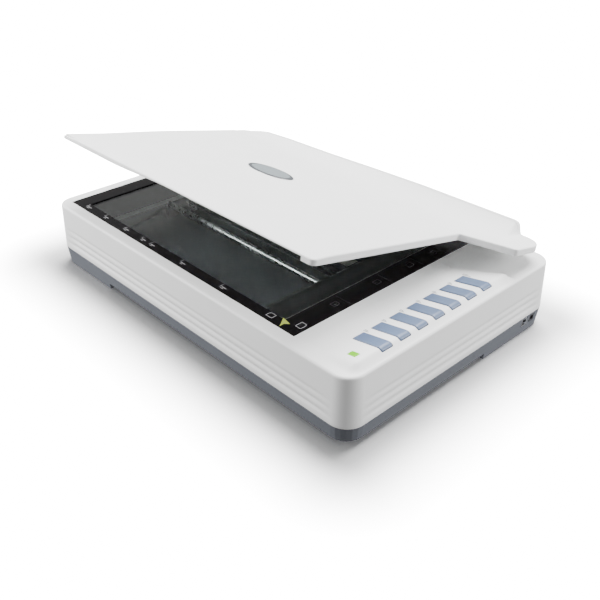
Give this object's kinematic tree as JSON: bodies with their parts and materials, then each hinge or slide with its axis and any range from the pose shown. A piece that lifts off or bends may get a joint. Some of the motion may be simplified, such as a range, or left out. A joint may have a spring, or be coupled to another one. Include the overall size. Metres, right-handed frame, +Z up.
{
  "type": "flatbed scanner",
  "caption": "Wide flatbed document scanner with an L-shaped lid on rising hinges, black glass surround, sloped key panel and grey base tray.",
  "frame": {"origin": "on the floor, under the middle of the case", "axes": "+X along the long side towards the key panel, +Y towards the hinges at the back, +Z up"},
  "size_m": [0.623, 0.4, 0.2045],
  "materials": {
    "white_plastic": "fine moulded grain",
    "grey_plastic": "satin moulded",
    "black_frame": "satin, printed page marks",
    "scan_glass": "clear float glass",
    "key_plastic": "satin",
    "status_lens": "translucent",
    "foam_pad": "soft white foam with a smooth film",
    "steel": "bright drawn",
    "bronze": "sintered",
    "circuit_board": "solder mask",
    "dark_plastic": "matte",
    "nylon": "natural",
    "rubber": "matte",
    "lamp_tube": "frosted white",
    "badge": "silver print on a clear dome",
    "mirror_glass": "front-silvered"
  },
  "bodies": {
    "root": {"upper_case": "white_plastic", "lower_case": "grey_plastic", "document_frame": "black_frame", "scan_glass": "scan_glass", "calibration_strip": "nylon", "key_board": "circuit_board", "status_lens": "status_lens", "main_board": "circuit_board", "usb_socket": "steel", "power_jack": "dark_plastic", "flat_cable": "nylon", "guide_rod": "steel", "drive_motor": "dark_plastic", "motor_bracket": "steel", "gear_axle": "steel", "idler_bracket": "steel", "tension_spring": "steel", "timing_belt": "rubber", "hinge_socket_left": "dark_plastic", "hinge_socket_right": "dark_plastic", "rubber_foot_1": "rubber", "rubber_foot_2": "rubber", "rubber_foot_3": "rubber", "rubber_foot_4": "rubber", "case_screw_1": "steel", "case_screw_2": "steel", "case_screw_3": "steel", "case_screw_4": "steel"},
    "hinge_lift": {"hinge_post_left": "nylon", "hinge_post_right": "nylon", "hinge_pin_left": "steel", "hinge_pin_right": "steel"},
    "lid": {"lid_shell": "white_plastic", "lid_inner_panel": "white_plastic", "document_pad": "foam_pad", "lid_badge": "badge", "lid_bumper_1": "rubber", "lid_bumper_2": "rubber", "hinge_bracket_left": "dark_plastic", "hinge_bracket_right": "dark_plastic"},
    "carriage": {"carriage_frame": "dark_plastic", "carriage_bush_left": "bronze", "carriage_bush_right": "bronze", "lamp_tube": "lamp_tube", "upper_mirror": "mirror_glass", "lower_mirror": "mirror_glass", "lens_block": "dark_plastic", "sensor_board": "circuit_board", "belt_clamp": "nylon"},
    "drive_gear": {"reduction_gear": "nylon"},
    "pinion": {"motor_pinion": "bronze"},
    "idler": {"idler_pulley": "nylon"},
    "lock": {"transport_lock": "key_plastic"},
    "button_1": {"key_1": "key_plastic"},
    "button_2": {"key_2": "key_plastic"},
    "button_3": {"key_3": "key_plastic"},
    "button_4": {"key_4": "key_plastic"},
    "button_5": {"key_5": "key_plastic"},
    "button_6": {"key_6": "key_plastic"},
    "button_7": {"key_7": "key_plastic"}
  },
  "joints": [
    {"name": "hinge_lift", "type": "slide", "parent": "root", "child": "hinge_lift", "axis": [0, 0, 1], "range_m": [-0.0151, 0.01]},
    {"name": "lid_hinge", "type": "hinge", "parent": "hinge_lift", "child": "lid", "pos_m": [0, 0.1723, 0.1167], "axis": [-1, 0, 0], "range_deg": [-13.4, 70]},
    {"name": "carriage_slide", "type": "slide", "parent": "root", "child": "carriage", "axis": [1, 0, 0], "range_m": [-0.415, 0]},
    {"name": "drive_gear_spin", "type": "hinge", "parent": "root", "child": "drive_gear", "pos_m": [0.228, 0.04, 0], "axis": [0, 0, 1], "range_deg": [-3400, 400]},
    {"name": "pinion_spin", "type": "hinge", "parent": "root", "child": "pinion", "pos_m": [0.24108, 0.01735, 0], "axis": [0, 0, 1], "range_deg": [-1300, 11400]},
    {"name": "idler_spin", "type": "hinge", "parent": "root", "child": "idler", "pos_m": [-0.285, 0.04, 0], "axis": [0, 0, 1], "range_deg": [-3400, 400]},
    {"name": "transport_lock", "type": "slide", "parent": "root", "child": "lock", "axis": [1, 0, 0], "range_m": [0, 0.008]},
    {"name": "button_1_press", "type": "slide", "parent": "root", "child": "button_1", "axis": [0, 0, -1], "range_m": [0, 0.0016], "stiffness_N_per_m": 600, "springref_m": -0.001},
    {"name": "button_2_press", "type": "slide", "parent": "root", "child": "button_2", "axis": [0, 0, -1], "range_m": [0, 0.0016], "stiffness_N_per_m": 600, "springref_m": -0.001},
    {"name": "button_3_press", "type": "slide", "parent": "root", "child": "button_3", "axis": [0, 0, -1], "range_m": [0, 0.0016], "stiffness_N_per_m": 600, "springref_m": -0.001},
    {"name": "button_4_press", "type": "slide", "parent": "root", "child": "button_4", "axis": [0, 0, -1], "range_m": [0, 0.0016], "stiffness_N_per_m": 600, "springref_m": -0.001},
    {"name": "button_5_press", "type": "slide", "parent": "root", "child": "button_5", "axis": [0, 0, -1], "range_m": [0, 0.0016], "stiffness_N_per_m": 600, "springref_m": -0.001},
    {"name": "button_6_press", "type": "slide", "parent": "root", "child": "button_6", "axis": [0, 0, -1], "range_m": [0, 0.0016], "stiffness_N_per_m": 600, "springref_m": -0.001},
    {"name": "button_7_press", "type": "slide", "parent": "root", "child": "button_7", "axis": [0, 0, -1], "range_m": [0, 0.0016], "stiffness_N_per_m": 600, "springref_m": -0.001}
  ],
  "couplings": [
    {"joint": "drive_gear_spin", "follows": "carriage_slide", "rad_per_m": 130.72},
    {"joint": "pinion_spin", "follows": "carriage_slide", "rad_per_m": -435.73},
    {"joint": "idler_spin", "follows": "carriage_slide", "rad_per_m": 130.72}
  ]
}
